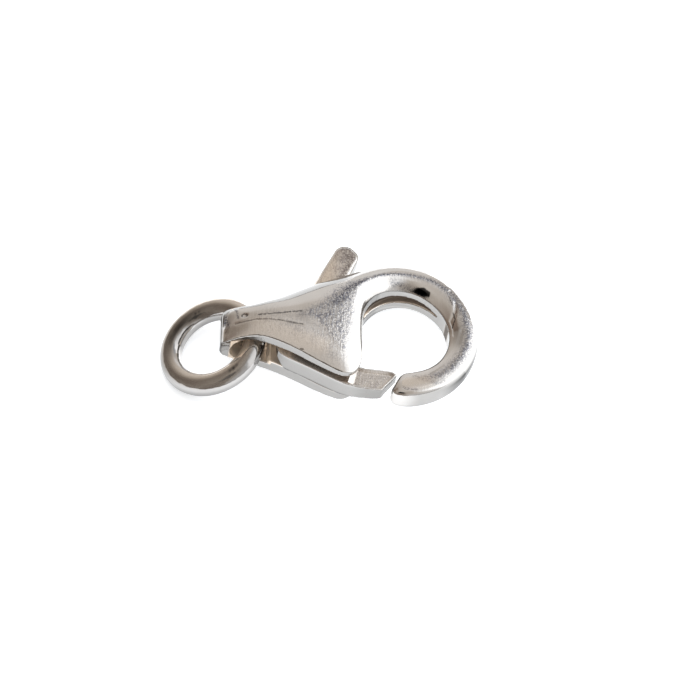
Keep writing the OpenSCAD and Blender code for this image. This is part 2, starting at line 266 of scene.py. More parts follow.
def remeshed(obj, voxel):
    mod = obj.modifiers.new("even", "REMESH")
    mod.mode = "VOXEL"
    mod.voxel_size = voxel
    mod.adaptivity = 0
    mod.use_smooth_shade = True
    bake(obj)


def vertices(obj):
    co = np.empty(len(obj.data.vertices) * 3)
    obj.data.vertices.foreach_get("co", co)
    return co.reshape(-1, 3)


def set_vertices(obj, co):
    obj.data.vertices.foreach_set("co", co.ravel())
    obj.data.update()


def normals(obj):
    no = np.empty(len(obj.data.vertices) * 3)
    obj.data.vertex_normals.foreach_get("vector", no)
    return no.reshape(-1, 3)


def relax(obj, rounds):
    """Smooths a remeshed surface and its edges. A round's second half gives back what the first shrinks."""
    edges = np.empty(len(obj.data.edges) * 2, dtype=np.int64)
    obj.data.edges.foreach_get("vertices", edges)
    a, b = edges.reshape(-1, 2).T
    co = vertices(obj)
    n = len(co)
    count = np.bincount(a, minlength=n) + np.bincount(b, minlength=n)
    for _ in range(rounds):
        for share in (0.5, -0.52):
            total = [np.bincount(a, co[b, d], n) + np.bincount(b, co[a, d], n) for d in range(3)]
            co = co + share * (np.stack(total, 1) / count[:, None] - co)
    set_vertices(obj, co)


def settle(obj):
    """From the clasp's own frame, in millimetres, to the part's frame, in metres."""
    co = vertices(obj)
    c, s = math.cos(REST_TILT), math.sin(REST_TILT)
    turned_co = np.stack([co[:, 0] * c + co[:, 2] * s, co[:, 1], -co[:, 0] * s + co[:, 2] * c], 1)
    set_vertices(obj, (turned_co - ORIGIN) * MM)


def step(x, low, high):
    """0 below low, 1 above high, and smooth between."""
    t = np.clip((x - low) / (high - low), 0, 1)
    return t * t * (3 - 2 * t)


def fade(x, low, high):
    """1 below low, 0 above high, and smooth between."""
    return 1 - step(x, low, high)


def by_line(points, line):
    """Distance in plan from each point to a line, and the line's other columns where it is nearest."""
    points = points[:, :2]
    line = np.asarray(line, float)
    best = np.full(len(points), 99.0)
    values = np.zeros((len(points), line.shape[1] - 2))
    for a, b in zip(line[:-1], line[1:]):
        along = b[:2] - a[:2]
        t = np.clip((points - a[:2]) @ along / max(along @ along, 1e-12), 0, 1)
        gap = np.linalg.norm(points - a[:2] - t[:, None] * along, axis=1)
        near = gap < best
        best[near] = gap[near]
        values[near] = a[2:] + t[near, None] * (b[2:] - a[2:])
    return best, values


def from_line(points, line):
    return by_line(points, line)[0]


def streak(points, line, width):
    """1 on a line in plan, fading off beside it."""
    return np.exp(-(from_line(points, line) / width) ** 2)


def within(points, outline):
    """Whether each point is inside an outline in plan."""
    x, y = points[:, 0], points[:, 1]
    inside = np.zeros(len(points), bool)
    line = np.asarray(outline, float)
    for (ax, ay), (bx, by) in zip(line, np.roll(line, -1, axis=0)):
        crosses = (ay > y) != (by > y)
        inside ^= crosses & (x < (bx - ax) * (y - ay) / (by - ay + 1e-12) + ax)
    return inside


def patch(points, outline, width):
    """1 inside an outline in plan, fading off outside it."""
    return np.where(within(points, outline), 1.0, streak(points, outline + outline[:1], width))


def paint(obj, **layers):
    """Stores a number at every vertex for each layer, for the materials."""
    for name, values in layers.items():
        layer = obj.data.attributes.new(name, "FLOAT", "POINT")
        layer.data.foreach_set("value", np.ascontiguousarray(np.clip(values, 0, 1), np.float32))


# Body: outer form, then what is cut from it, then an even mesh with softened edges
def section_ring(s):
    v_in = np.linspace(0, s[RIDGE], 15)[:-1]
    theta = np.linspace(0, math.pi / 2, 24)
    v_out = s[RIDGE] + (1 - s[RIDGE]) * np.sin(theta) ** (2 / s[ROUND])
    v = np.concatenate([v_in, v_out])
    h = half_t(s, v)
    plan = inner(s) + v[:, None] * (outer(s) - inner(s))
    top = np.column_stack([plan, h])
    under = np.column_stack([plan, -h * s[UNDER]])[-2::-1]
    return np.vstack([top, under])


def back_wall(u):
    s = at_u(u)
    chord = inner(s) - outer(s)
    return outer(s) + chord * SPINE_WALL / np.linalg.norm(chord)


def hollow_plan():
    corner = placed([0.487, 0.080])[0]
    eye_wall = placed([0.530, -0.250])[0] - PIVOT
    open_back = PIVOT + turned(eye_wall, math.radians(LEVER_SWING + 8))
    start = inner(at_u(HOLLOW_RUN[0]))
    outline = [tuple(back_wall(u)) for u in np.linspace(*HOLLOW_RUN, 23)]
    outline += [tuple(corner), (corner[0], open_back[1]), (0.6 * BODY_L, open_back[1])]
    return outline + [(0.6 * BODY_L, -BODY_W), (start[0], -BODY_W)]


def make_body():
    body = loft("cast_body", [section_ring(s) for s in smooth(SECTIONS, 8)])
    centre_x = TAIL_WALL + PASSAGE_H / 2
    r = PASSAGE_H / 2
    angles = np.linspace(math.pi / 2, 3 * math.pi / 2, 49)
    outline = [(centre_x + r * math.cos(a), r * math.sin(a)) for a in angles]
    outline += [(0.19 * BODY_L, -r), (0.19 * BODY_L, r)]
    combine(body, prism("passage", outline, -BODY_W, BODY_W, "xz"))

    combine(body, prism("hollow", hollow_plan()[::-1], -HOLLOW_DOWN, HOLLOW_UP))

    half = TAB_ROOT_R + TAB_PLAY
    far = TAB_REACH + CUT_PAST
    open_angle = TAB_ANGLE + math.radians(LEVER_SWING + 1)
    mid_angle = TAB_ANGLE + math.radians(LEVER_SWING + 1) / 2
    outline = [turned((0, -half), TAB_ANGLE), turned((far, 0.26 - half), TAB_ANGLE),
               turned((far, 0), mid_angle), turned((far, half), open_angle), turned((0, half), open_angle)]
    outline = [tuple(PIVOT + p) for p in outline]
    combine(body, prism("tab_slot", outline, -TAB_T / 2 - TAB_PLAY, TAB_T / 2 + TAB_PLAY))

    rings = []
    for along, height, depth in smooth(GROOVE, 8):
        s = at_u(GROOVE_RUN[0] + (GROOVE_RUN[1] - GROOVE_RUN[0]) * along)
        chord = outer(s) - inner(s)
        chord = chord / np.linalg.norm(chord)
        near = inner(s) - chord * 0.3
        deep = inner(s) + chord * GROOVE_DEPTH * depth
        h = GROOVE_H * height / 2
        rings.append(np.array([[*near, h], [*deep, h], [*deep, -0.8 * h], [*near, -0.8 * h]]))
    combine(body, loft("groove", rings))
    combine(body, prism("pin_bore", circle(PIVOT, PIN_D / 2 + PIN_SEAT_GAP), -BODY_H, PIN_TOP))
    return body


def make_lever():
    half = LEVER_T / 2
    nose = NOSE_T / 2
    arm = prism("gate_lever", [tuple(p) for p in placed(smooth(ARM, 8))][::-1], -half, half)
    side = [(0.190, half), (0.465, half), (0.535, nose), (0.690, nose * 0.68), (0.690, -nose * 0.68),
            (0.535, -nose), (0.465, -half), (0.247, -half)]
    side = [(x * BODY_L, z) for x, z in side]
    combine(arm, prism("arm_side", side, -BODY_W, BODY_W, "xz"), "INTERSECT")
    combine(arm, prism("hub", circle(PIVOT, HUB_R), -half, half), "UNION")
    angles = np.linspace(-math.pi / 2, math.pi / 2, 49)
    tab = [(0, -TAB_ROOT_R)]
    tab += [(TAB_REACH + TAB_R * math.cos(a), TAB_R * math.sin(a)) for a in angles]
    tab += [(0, TAB_ROOT_R)]
    tab = [tuple(PIVOT + turned(p, TAB_ANGLE)) for p in tab]
    combine(arm, prism("tab", tab, -TAB_T / 2, TAB_T / 2), "UNION")
    combine(arm, prism("lever_bore", circle(PIVOT, PIN_D / 2 + PIN_CLEARANCE), -2, 2))
    return arm


# Marks on the upper side, in plan: two fine lines from the tail, the grainy crown, the worn ridge from
# the crown round the hook, whose darker mottle is a painted dark reflection, the facet in the tail's corner,
# which takes painted shade, and soft ripples inside the hook's bend
UPPER_LINE = [(2.11, 0.84), (2.82, 0.88), (3.55, 0.94), (4.16, 1.04), (4.77, 1.12)]
LOWER_LINE = [(0.77, 0.31), (1.33, 0.41), (1.90, 0.52), (2.69, 0.51), (3.54, 0.41), (4.31, 0.26),
              (4.84, 0.18)]
CROWN_PATCH = [(5.3, 1.1), (6.2, 1.8), (7.3, 3.2), (8.0, 3.6), (7.75, 0.9), (7.3, -1.1), (6.6, -0.2),
               (6.1, 0.5)]
RIDGE_WEAR_AND_REFLECTION = np.array([
    # x, y, half width, strength
    [4.77, 1.09, 0.10, 0.20],
    [5.38, 1.28, 0.17, 0.35],
    [6.19, 1.56, 0.28, 0.60],
    [6.93, 2.03, 0.36, 0.90],
    [7.43, 2.70, 0.34, 1.15],
    [7.75, 3.24, 0.28, 1.20],
    [8.13, 3.55, 0.23, 1.15],
    [8.51, 3.89, 0.18, 1.10],
    [8.90, 4.16, 0.14, 1.00],
    [9.66, 4.62, 0.11, 1.00],
    [10.30, 4.82, 0.11, 1.00],
    [10.93, 4.92, 0.11, 0.95],
    [11.56, 4.95, 0.12, 0.85],
    [12.21, 4.87, 0.14, 0.80],
    [12.83, 4.74, 0.17, 0.75],
    [13.47, 4.50, 0.24, 0.60],
    [14.08, 4.00, 0.32, 0.70],
    [14.72, 3.09, 0.36, 0.70],
    [15.10, 2.19, 0.36, 0.75],
    [15.27, 1.18, 0.34, 0.75],
    [15.21, 0.20, 0.30, 0.70],
    [14.70, -0.75, 0.36, 0.65],
    [14.15, -1.45, 0.36, 0.60],
    [13.50, -2.00, 0.32, 0.60],
    [12.85, -2.24, 0.22, 0.55],
    [12.35, -2.24, 0.16, 0.30],
])
CROWN_SHADE = [(4.65, 0.85), (5.40, 0.92), (6.13, 0.98), (6.80, 0.85)]
# Painted shade inside the hook, soft
HOOK_SHADE = [(11.50, 4.10), (10.84, 4.33), (10.50, 4.36)]
CRACKS = (
    [(14.02, 3.71), (14.15, 3.37), (14.28, 3.08)],
    [(14.30, 2.61), (14.42, 2.12), (14.30, 1.72), (14.20, 1.34)],
)
TIP_TAN = [(10.9, -2.75), (11.7, -2.75), (12.6, -2.55)]
# A painted black reflection near the hook's top, with ragged edges
BLACK_PATCH = [(12.02, 4.17), (12.45, 4.20), (12.84, 3.92), (12.80, 3.75), (12.44, 3.86), (11.97, 4.06)]
EYE_EDGE = [(8.6, 0.6), (8.9, 2.3), (10.1, 3.9), (12.3, 4.0), (13.8, 2.6), (14.1, 1.1), (13.5, -0.9),
            (11.6, -1.8)]
TAIL_CORNER = [(0.25, -0.15), (0.95, -0.10), (1.3, 0.05)]
TAIL_BLOTCH = [(0.14, 1.00), (0.20, 0.65), (0.32, 0.31), (0.26, -0.10)]
TAIL_SPOTS = [(0.78, 1.42), (0.86, 1.10), (0.92, 0.72)]
EDGE_NICK = [(4.76, -1.42), (4.92, -1.46)]
SCUFFS = [(2.9, 0.3), (4.6, -0.2), (5.9, -0.6), (6.9, -1.4)]
FLANK = [(0.9, -0.15), (2.35, 0.06), (4.07, -0.59), (5.92, -1.16)]
TIP_PATCH = [(10.80, -3.05), (11.20, -3.20), (11.60, -3.28), (11.96, -3.30)]
TIP_SPOTS = [(11.85, -2.21), (12.21, -2.43), (12.82, -2.53), (13.19, -2.71), (13.69, -2.43)]
# Painted shade in the hook's bend
BEND_SHADE = [(14.62, 1.3), (14.66, 0.8), (14.66, 0.4)]
RIPPLES = (
    [(14.14, 4.10), (14.46, 3.45), (14.42, 2.59), (14.15, 1.97), (14.37, 1.30), (14.15, 0.85)],
    [(14.84, 1.28), (14.59, 0.18), (14.21, -0.57), (13.70, -1.45), (12.95, -2.09)],
)


# Small oval pit near the tail, in plan, and its half sizes
PIT = (1.31, 0.86)
PIT_SIZE = (0.16, 0.11)
PIT_DEPTH = 0.06
LINE_WIDTH = 0.07
LINE_DEPTH = 0.015
RIPPLE_WIDTH = 0.12
RIPPLE_DEPTHS = (0.050, 0.040)
FACET_SINK = 0.16
NOSE_SINK_TOP = 0.20
NOSE_SINK_LOW = 0.08
TAB_BEVEL = 0.09
TAB_WIDER = 0.15


def finish_body(body):
    co, no = vertices(body), normals(body)
    x, y, z = co.T
    nx, ny, nz = no.T
    upper = step(nz, 0.3, 0.7) * ((x < 8.2) | (z > 0.8))

    # Sunk one by one: the pit, the fine lines, the ripples and the slanted facet on the tail's corner
    from_pit = np.hypot((x - PIT[0]) / PIT_SIZE[0], (y - PIT[1]) / PIT_SIZE[1])
    z -= PIT_DEPTH * np.exp(-from_pit ** 2) * upper
    lines = np.maximum(streak(co, UPPER_LINE, LINE_WIDTH), streak(co, LOWER_LINE, LINE_WIDTH)) * upper
    z -= LINE_DEPTH * lines
    for line, depth in zip(RIPPLES, RIPPLE_DEPTHS):
        z -= depth * streak(co, line, RIPPLE_WIDTH) * upper
    rise = (0.62 - x) * 0.9 + (y - 0.55) * 0.35
    z -= FACET_SINK * np.clip(rise, 0, 0.5) * upper * step(y, 0.0, 0.4)
    set_vertices(body, co)

    # Insides: the hollow, the ring passage and the hook's groove
    low = np.abs(z)
    level = np.where(z > 0, low, low + HOLLOW_UP - HOLLOW_DOWN)
    hollow = within(co, hollow_plan()) * fade(level, 1.03, 1.09)
    hollow_end = step(x, 3.9, 4.9)
    passage = fade(low, 0.98, 1.06) * step(x, 0.48, 0.56) * fade(x, 3.1, 3.3)
    rim = np.array([inner(at_u(u)) for u in np.linspace(16.8, 24.2, 90)])
    near = (low < 0.62) & (x > 8.2)
    deep = from_line(co[near], rim)
    hook = np.zeros(len(co))
    hook[near] = step(deep, 0.03, 0.12) * fade(deep, 0.62, 0.75) * (0.40 + 0.55 * step(x[near], 8.7, 9.6))

    # Painted shade: sides are darkened by the way they face, most of all those that face the front or the
    # back
    side = fade(np.abs(nz), 0.45, 0.85)
    front = fade(ny, -0.5, 0.2)
    rear = step(ny, 0.0, 0.6)
    lips = fade(x, 8.5, 9.5)
    # Less painted shade along the lower cheek's top edge, a painted highlight
    brow = np.exp(-((z + HOLLOW_DOWN) / 0.12) ** 2)
    front_dim = 0.27 + 0.08 * lips + np.where(z < -0.5, 0.07 - 0.16 * brow, 0.10 * (x < 8.0))
    dim = side * (0.16 + front * front_dim + 0.30 * rear)
    # Painted shade by facing: edges facing right, walls inside the eye, the hook's front end (lightened
    # nearer the eye), undersides, the tail's left side
    right = step(nx, 0.5, 0.9) * fade(np.abs(nz), 0.20, 0.50)
    inward = side * step(x, 8.6, 9.2) * (from_line(co, EYE_EDGE) < 0.9)
    end = side * front * (1.9 * step(x, 11.0, 12.4) - 0.9) * (x > 10.0) * (y < -1.5)
    under = fade(nz, -0.45, -0.05)
    left = fade(nx, -0.60, -0.30) * (x < 2.5)
    dim += (0.24 + 0.26 * (x > 9.5)) * right + 0.12 * inward + 0.14 * end + 0.25 * under + 0.22 * left
    # Painted shade on the back rim, darkening the bright floor it mirrors
    back_rim = step(ny + 0.7 * nx ** 2, 0.450, 0.480) * fade(nx, 0.35, 0.60) * (nz > -0.2)
    dim = np.maximum(dim, (0.62 - 0.26 * step(x, 7.2, 8.2)) * back_rim)
    # Painted shade in the hook's bend
    dim = np.maximum(dim, 0.34 * streak(co, BEND_SHADE, 0.35) * upper)
    # Painted shade deep in the hollow, and none in the ring passage
    dim = np.where(hollow > 0.3, 0.75 * hollow_end * fade(x, 6.4, 7.3), dim)
    dim = np.where(passage > 0.3, 0.0, dim)

    # Grainy crown, and the worn ridge whose darker mottle is a painted dark reflection; painted shade inside
    # the hook, on the tail and its corner facet; and a painted black reflection near the hook's top
    crown = patch(co, CROWN_PATCH, 0.35)
    gap, worn = by_line(co, RIDGE_WEAR_AND_REFLECTION)
    ridge = worn[:, 1] * np.exp(-(gap / worn[:, 0]) ** 2)
    shade = streak(co, CROWN_SHADE, 0.28)
    tip = np.maximum(0.9 * streak(co, TIP_PATCH, 0.13), 0.5 * streak(co, TIP_SPOTS, 0.15))
    tail = np.maximum(streak(co, TAIL_BLOTCH, 0.15), 0.7 * streak(co, TAIL_SPOTS, 0.07)) * upper
    hook_shade = streak(co, HOOK_SHADE, 0.30) * upper
    black_reflection = patch(co, BLACK_PATCH, 0.06)
    corner = streak(co, TAIL_CORNER, 0.40) * upper
    scuffs = np.maximum(streak(co, UPPER_LINE, 0.15), 0.8 * streak(co, SCUFFS, 0.85))
    # Painted shade on the tail's corner facet and blotch and inside the hook, and the painted black
    # reflection
    dim = np.maximum.reduce([dim, 0.42 * corner, 0.20 * tail, 0.24 * hook_shade, 0.8 * black_reflection ** 2 * upper])
    # Slate mottle, a painted dark reflection: on the ridge, the crown's shade, the hook's tip, the tail, the
    # crown and inside the hook
    slate = np.maximum.reduce([ridge, 0.45 * shade, tip, 1.3 * tail, 0.15 * crown, 0.55 * hook_shade]) * upper
    grain = np.maximum.reduce([crown, 1.2 * ridge, 0.6 * scuffs]) * upper

    # Dark marks: painted shade in the fine lines, the pit's edge, a nick in the edge and cracks in the bend,
    # and the painted black reflection
    pit_edge = np.exp(-((from_pit - 1) / 0.5) ** 2)
    nick = streak(co, EDGE_NICK, 0.07) * step(nz, -0.2, 0.2)
    cracks = np.maximum.reduce([streak(co, line, 0.05) for line in CRACKS])
    mark = np.maximum(1.2 * nick, np.maximum.reduce([1.15 * pit_edge, 1.1 * black_reflection, 1.1 * cracks]) * upper)
    mark = np.maximum(mark, lines)

    # Brown tarnish, deepest inside
    flank = fade(from_line(co, FLANK), 0.2, 1.0) * upper
    tan = streak(co, TIP_TAN, 0.5) * upper
    tarnish = np.maximum.reduce([(0.38 + 0.47 * hollow_end) * hollow, 0.50 * passage, hook, 0.14 * flank,
                                 0.26 * corner, 0.18 * tan])
    paint(body, dim=dim, tarnish=tarnish, grain=grain, slate=slate, mark=mark)


def finish_lever(lever):
    co, no = vertices(lever), normals(lever)
    x, y, z = co.T
    ny, nz = no[:, 1], no[:, 2]
    top = step(np.abs(nz), 0.7, 0.95)

    # Sunken panel on the nose, with a slanted face at its start
    edge = from_line(co, placed(smooth(ARM, 8)))
    nose = np.clip((x - 0.25 * y - 8.52) / 0.36, 0, 1) * top * step(edge, 0.11, 0.20)
    z -= np.where(z > 0, NOSE_SINK_TOP, NOSE_SINK_LOW) * nose

    # The thumb tab's edges are rounded, and it is a little wider on its right
    along = (co[:, :2] - PIVOT) @ turned((1, 0), TAB_ANGLE)
    across = (co[:, :2] - PIVOT) @ turned((0, 1), TAB_ANGLE)
    reach = np.where(along < TAB_REACH, np.abs(across), np.hypot(along - TAB_REACH, across))
    on_tab = step(along, 3.0, 3.4)
    z -= np.sign(z) * TAB_BEVEL * on_tab * top * np.clip((reach - 0.50) / 0.20, 0, 1) ** 2
    wider = TAB_WIDER * fade(across, -0.60, -0.30) * step(along, 3.4, 4.0)
    co[:, :2] -= wider[:, None] * turned((0, 1), TAB_ANGLE)
    set_vertices(lever, co)

    centre = on_tab * top * fade(reach, 0.50, 0.62)
    # The tab's centre takes a slate mottle, a painted dark reflection, most on one side and at its end, and
    # a little painted shade
    blue = centre * np.maximum(fade(across, -0.45, -0.15), 0.8 * step(along, 5.6, 6.3))
    heel = top * fade(x, 6.4, 7.6)
    # Painted shade: sides are darkened by the way they face, most toward the front and along the foot; the
    # top edge has less, a painted highlight; undersides darker too
    side = fade(np.abs(nz), 0.45, 0.85)
    front = fade(ny, -0.5, 0.2)
    foot = np.exp(-((z + LEVER_T / 2) / 0.10) ** 2) * fade(x, 7.6, 8.2)
    brow = np.exp(-((z - LEVER_T / 2) / 0.14) ** 2)
    front_dim = 0.24 + 0.30 * foot - 0.14 * brow
    dim = side * (0.365 + front * front_dim + 0.08 * step(x, 8.0, 9.2) + 0.12 * on_tab)
    dim += 0.2 * fade(nz, -0.45, -0.05)
    paint(lever, dim=np.maximum(dim, 0.10 * centre), tarnish=0.14 * nose + 0.17 * centre + 0.20 * heel,
          grain=np.maximum(centre, 0.6 * nose), slate=0.14 * centre + 1.05 * blue + 0.03 * nose)


# Pin, turned about its axis, with softened edges
PIN_EDGE = 0.06
PIN_MIDDLE_R = 0.02


def make_pin():
    r = PIN_D / 2
    top = PIN_TOP - PIN_SEAT_GAP
    profile = [(PIN_MIDDLE_R, PIN_LOW), (r * 0.6, PIN_LOW), (r - PIN_EDGE, PIN_LOW),
               (r - 0.3 * PIN_EDGE, PIN_LOW + 0.3 * PIN_EDGE), (r, PIN_LOW + PIN_EDGE), (r, top - PIN_EDGE),
               (r - PIN_EDGE, top), (PIN_MIDDLE_R, top)]
    return loft("hinge_pin", [[(*p, z) for p in circle(PIVOT, radius)] for radius, z in profile])


# Jump ring of round wire
RING_R = (RING_INNER_D + WIRE_D) / 2
WIRE_R = WIRE_D / 2
AROUND = 240
SECTION = 72
# Two painted dark reflections along the wire: degrees round the ring, and place across the wire
WIRE_STREAKS = ((114, -0.28), (-62, 0.38))


def make_ring():
    points = []
    c, s = math.cos(RING_LEAN), math.sin(RING_LEAN)
    for i in range(AROUND):
        a = 2 * math.pi * i / AROUND
        for j in range(SECTION):
            b = 2 * math.pi * j / SECTION
            d = RING_R + WIRE_R * math.cos(b)
            x, y, z = d * math.cos(a), d * math.sin(a), WIRE_R * math.sin(b)
            points.append(((x * c - z * s, y, x * s + z * c) + RING_CENTRE - ORIGIN) * MM)
    faces = []
    for i in range(AROUND):
        here, following = i * SECTION, (i + 1) % AROUND * SECTION
        for j in range(SECTION):
            k = (j + 1) % SECTION
            faces.append((here + j, following + j, following + k, here + k))
    return mesh_object("wire_ring", points, faces)


def finish_ring(ring):
    co = vertices(ring) / MM + ORIGIN - RING_CENTRE
    nx, ny, nz = normals(ring).T
    left = fade(nx, -0.05, 0.25)
    up = step(nz, 0.35, 0.8) * left
    left_arc = np.exp(-((np.degrees(np.arctan2(co[:, 1], -co[:, 0])) - 22) / 50) ** 2)
    # Painted shade by the way the wire faces: darker to the front and below, on its upper left arc and its
    # top, less where it faces right
    dim = fade(ny, -0.3, 0.3) * (0.45 + 0.19 * fade(nz, -0.1, 0.35)) + 0.25 * fade(nz, -0.5, -0.1)
    dim += 0.10 * up + 0.44 * left_arc * step(nz, 0.0, 0.4) * left
    angle = np.degrees(np.arctan2(co[:, 1], co[:, 0]))
    across = (np.linalg.norm(co, axis=1) - RING_R) / WIRE_R
    # Painted dark reflections in two streaks along the wire
    for at, place in WIRE_STREAKS:
        dark = np.exp(-((angle - at) / 14) ** 2 - ((across - place) / 0.22) ** 2) * step(nz, 0.2, 0.5)
        dim = np.maximum(dim, (0.88 + 0.12 * np.sin(angle * 1.1)) * dark)
    # Painted brown reflection on the wire's upper side
    paint(ring, dim=dim, tarnish=0.26 * up)


body = make_body()
remeshed(body, BODY_VOXEL)
relax(body, 5)
finish_body(body)
settle(body)

lever = make_lever()
remeshed(lever, LEVER_VOXEL)
relax(lever, 3)
finish_lever(lever)
settle(lever)

pin = make_pin()
settle(pin)

ring = make_ring()
finish_ring(ring)


# Materials
class Nodes:
    """Short hand for building one node tree."""
    def __init__(self, tree):
        self.tree = tree
        tree.nodes.clear()

    def add(self, kind, inputs=None, **settings):
        node = self.tree.nodes.new(kind)
        for key, value in settings.items():
            setattr(node, key, value)
        for key, value in (inputs or {}).items():
            if isinstance(value, bpy.types.NodeSocket):
                self.tree.links.new(value, node.inputs[key])
            else:
                node.inputs[key].default_value = value
        return node

    def math(self, operation, a, b=0.0, c=0.0):
        node = self.add("ShaderNodeMath", {0: a, 1: b, 2: c}, operation=operation)
        return node.outputs[0]

    def turned(self, place, scale, angle):
        node = self.add("ShaderNodeMapping", {"Vector": place, "Scale": scale, "Rotation": (0, 0, angle)})
        return node.outputs["Vector"]

    def noise(self, place, scale, detail, roughness=0.5):
        node = self.add("ShaderNodeTexNoise", {"Vector": place, "Scale": scale, "Detail": detail,
                                               "Roughness": roughness})
        return node.outputs["Fac"]

    def range(self, value, low, high, to_low=0.0, to_high=1.0, **settings):
        node = self.add("ShaderNodeMapRange", {"Value": value, "From Min": low, "From Max": high,
                                               "To Min": to_low, "To Max": to_high}, **settings)
        return node.outputs["Result"]

    def mix(self, share, a, b):
        b = (*b, 1) if isinstance(b, tuple) else b
        return self.add("ShaderNodeMix", {0: share, "A": a, "B": b}, data_type="RGBA").outputs["Result"]

    def painted(self, layer):
        return self.add("ShaderNodeAttribute", attribute_name=layer).outputs["Fac"]

    def bump(self, height, strength, distance, **under):
        inputs = {"Height": height, "Strength": strength, "Distance": distance, **under}
        node = self.add("ShaderNodeBump", inputs)
        return node.outputs["Normal"]

    def ramp(self, value, stops, interpolation="LINEAR"):
        node = self.add("ShaderNodeValToRGB", {"Fac": value})
        node.color_ramp.interpolation = interpolation
        elements = node.color_ramp.elements
        while len(elements) < len(stops):
            elements.new(0.5)
        for element, (place, colour) in zip(elements, stops):
            element.position = place
            element.color = (*colour, 1) if isinstance(colour, tuple) else (colour, colour, colour, 1)
        return node.outputs["Color"]


def silver(name, base=(0.93, 0.91, 0.885), rough=(0.035, 0.10), strokes=0.50, waves=0.0, dulling=0.42,
           painted=True, worn=True):
    """Polished silver. The painted kind is dulled, aged and given painted shade in places, the worn kind has
    specks, a slate mottle of painted dark reflection, and dark marks.
    """
    mat = bpy.data.materials.new(name)
    mat.use_nodes = True
    n = Nodes(mat.node_tree)
    place = n.add("ShaderNodeTexCoord").outputs["Object"]
    mm = n.turned(place, (1000, 1000, 1000), 0.0)
    stretch = n.turned(mm, (8.0, 0.7, 2.0), 0.22)
    cloud = n.noise(mm, 0.9, 3.0)
    lines = n.noise(stretch, 1.0, 4.0, 0.7)
    flake = n.noise(mm, 7.5, 2.5, 0.65)
    colour = n.ramp(cloud, [(0.3, tuple(c * 0.96 for c in base)), (0.7, base)])
    roughness = n.range(cloud, 0.35, 0.65, *rough)
    metallic = 1.0
    relief = n.math("MULTIPLY", flake, 0.12)
    if worn:
        # Specks and short strokes, in patches
        grain = n.painted("grain")
        slant = n.turned(mm, (9.0, 2.2, 4.0), -0.30)
        hatch = n.noise(slant, 1.0, 2.0, 0.6)
        roughness = n.math("MULTIPLY_ADD", grain, 0.03, roughness)
        relief = n.math("MULTIPLY", n.math("ADD", flake, hatch), n.math("MULTIPLY_ADD", grain, 1.55, 0.06))
        either = n.math("MAXIMUM", n.noise(mm, 8.0, 2.0, 0.6), n.math("SUBTRACT", hatch, 0.02))
        patches = n.range(n.noise(mm, 1.7, 2.0), 0.42, 0.58, 0.55, 1.0)
        spots = n.math("MULTIPLY", n.math("MULTIPLY", n.range(either, 0.51, 0.60), grain), patches)
        colour = n.mix(n.math("MULTIPLY", spots, 0.8), colour, (0.27, 0.28, 0.34))
        # Slate mottle, a painted dark reflection, then the dark marks with ragged edges, mostly painted
        # shade in small recesses
        fine = n.noise(mm, 9.0, 3.0, 0.7)
        mottle = n.math("MULTIPLY", n.painted("slate"), n.range(fine, 0.45, 0.56, 0.22, 1.0))
        colour = n.mix(mottle, colour, (0.12, 0.13, 0.18))
        ragged = n.math("MULTIPLY_ADD", fine, 1.5, n.math("SUBTRACT", n.painted("mark"), 0.78))
        colour = n.mix(n.range(ragged, 0.50, 0.75, 0.0, 0.75), colour, (0.07, 0.065, 0.07))
    if painted:
        # Thin tarnish tints the metal, and thick tarnish is a dark brown crust on it; on the ring this layer
        # is a painted brown reflection
        tarnish = n.painted("tarnish")
        roughness = n.math("MULTIPLY_ADD", tarnish, dulling, roughness)
        bare = n.range(tarnish, 0.30, 0.52, 1.0, 0.15)
        metallic = n.math("MINIMUM", n.math("MULTIPLY_ADD", tarnish, -0.8, 1.0), bare)
        old = n.ramp(tarnish, [(0.3, (0.76, 0.60, 0.43)), (0.5, (0.84, 0.70, 0.55)),
                               (0.62, (0.38, 0.28, 0.20)), (0.9, (0.20, 0.145, 0.105))])
        colour = n.mix(n.range(tarnish, 0.0, 0.5, 0.0, 0.92), colour, old)
        # Painted shade: the dim layer darkens the colour towards black
        colour = n.mix(n.painted("dim"), colour, (0.0, 0.0, 0.0))
    bump = n.bump(lines, strokes, 0.000010)
    bump = n.bump(relief, 1.0, 0.000014, Normal=bump)
    if waves:
        bump = n.bump(n.noise(mm, 1.5, 1.5), 1.0, waves, Normal=bump)
    shader = n.add("ShaderNodeBsdfPrincipled", {"Base Color": colour, "Metallic": metallic,
                                                "Roughness": roughness, "Normal": bump})
    n.add("ShaderNodeOutputMaterial", {"Surface": shader.outputs["BSDF"]})
    return mat


body_finish = silver("cast_silver_polish")
lever_finish = silver("lever_silver_polish", rough=(0.10, 0.20))
pin_finish = silver("pin_silver_polish", rough=(0.12, 0.22), painted=False, worn=False)
ring_finish = silver("ring_silver_polish", base=(0.86, 0.84, 0.825), rough=(0.02, 0.05), strokes=0.15,
                     waves=0.00003, dulling=0.08, worn=False)
for obj, finish, node, slot, carrier in (
    (body, body_finish, "body", "cast_silver", "clasp_body"),
    (lever, lever_finish, "lever", "lever_silver", "lever_body"),
    (pin, pin_finish, "pivot_pin", "pin_silver", "clasp_body"),
    (ring, ring_finish, "jump_ring", "ring_silver", "ring_body"),
):
    obj.data.shade_smooth()
    obj.data.materials.clear()
    obj.data.materials.append(finish)
    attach(obj, carrier)
    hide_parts(node)


